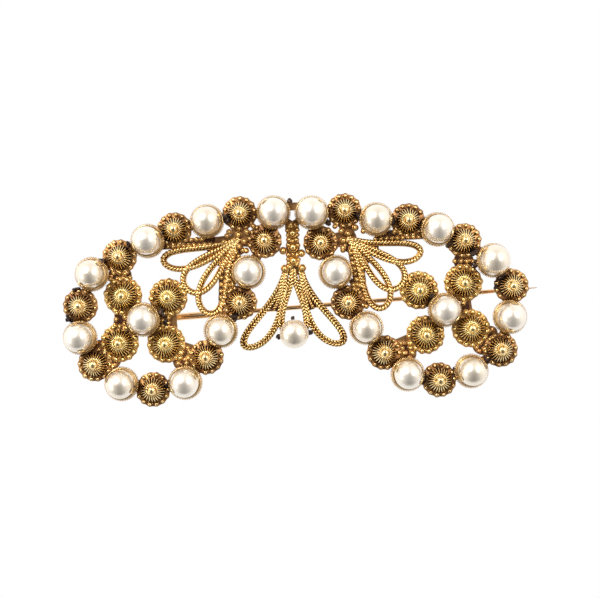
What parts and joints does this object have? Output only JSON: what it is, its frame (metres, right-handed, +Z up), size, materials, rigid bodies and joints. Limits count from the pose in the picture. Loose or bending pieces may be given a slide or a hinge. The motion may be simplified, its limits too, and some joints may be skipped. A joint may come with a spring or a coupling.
{
  "type": "pearl bar brooch",
  "caption": "Wide openwork gold brooch of pearls and wirework rosettes in two wings, with wire fans, a central plume and drop, and a hinged pin with a hook catch.",
  "frame": {"origin": "in the flat back plane, midway between the two wings, on the line where the brooch rests on the cloth", "axes": "+X along the brooch to the right as seen from the front, +Z up as worn, front faces -Y, +Y away from the viewer into the cloth"},
  "size_m": [0.0781, 0.0118, 0.0338],
  "materials": {
    "pearl": "creamy pearl with a soft lustre",
    "rosette_gold": "wirework gold, dark in the recesses",
    "flower_gold": "brighter yellow gold wirework",
    "collet_gold": "polished gold cups with milled bases",
    "frame_gold": "satin gold, slightly tarnished",
    "wire_gold": "twisted gold wire and granules",
    "fitting_gold": "plain polished gold",
    "pin_metal": "plain polished reddish gold"
  },
  "bodies": {
    "ornament": {"left_pearl_1": "pearl", "left_pearl_2": "pearl", "left_pearl_3": "pearl", "left_pearl_4": "pearl", "left_pearl_5": "pearl", "left_pearl_6": "pearl", "left_pearl_7": "pearl", "left_pearl_8": "pearl", "left_pearl_9": "pearl", "right_pearl_1": "pearl", "right_pearl_2": "pearl", "right_pearl_3": "pearl", "right_pearl_4": "pearl", "right_pearl_5": "pearl", "right_pearl_6": "pearl", "right_pearl_7": "pearl", "right_pearl_8": "pearl", "right_pearl_9": "pearl", "left_flower_pearl": "pearl", "right_flower_pearl": "pearl", "drop_pearl": "pearl", "left_rosette_1": "rosette_gold", "left_rosette_2": "rosette_gold", "left_rosette_3": "rosette_gold", "left_rosette_4": "rosette_gold", "left_rosette_5": "rosette_gold", "left_rosette_6": "rosette_gold", "left_rosette_7": "rosette_gold", "left_rosette_8": "rosette_gold", "left_rosette_9": "rosette_gold", "right_rosette_1": "rosette_gold", "right_rosette_2": "rosette_gold", "right_rosette_3": "rosette_gold", "right_rosette_4": "rosette_gold", "right_rosette_5": "rosette_gold", "right_rosette_6": "rosette_gold", "right_rosette_7": "rosette_gold", "right_rosette_8": "rosette_gold", "right_rosette_9": "rosette_gold", "left_flower_rosette_1": "flower_gold", "left_flower_rosette_2": "flower_gold", "left_flower_rosette_3": "flower_gold", "left_flower_rosette_4": "flower_gold", "right_flower_rosette_1": "flower_gold", "right_flower_rosette_2": "flower_gold", "right_flower_rosette_3": "flower_gold", "right_flower_rosette_4": "flower_gold", "pearl_collets": "collet_gold", "left_frame": "frame_gold", "right_frame": "frame_gold", "centre_frame": "frame_gold", "left_fan": "wire_gold", "right_fan": "wire_gold", "centre_plume": "wire_gold", "centre_stem": "wire_gold", "hinge_knuckles": "fitting_gold", "hinge_rivet": "fitting_gold", "catch_hook": "fitting_gold"},
    "pin_tube": {"pin_barrel": "pin_metal"},
    "pin": {"pin_stem": "pin_metal"}
  },
  "joints": [
    {"name": "pin_swing", "type": "hinge", "parent": "ornament", "child": "pin_tube", "pos_m": [-0.021, 0.00475, -0.0022], "axis": [-0.0523, 0, 0.9986], "range_deg": [0, 75]},
    {"name": "pin_flex", "type": "hinge", "parent": "pin_tube", "child": "pin", "pos_m": [-0.01985, 0.00475, -0.00214], "axis": [0, 1, 0], "range_deg": [0, 2], "stiffness_Nm_per_rad": 0.02}
  ]
}
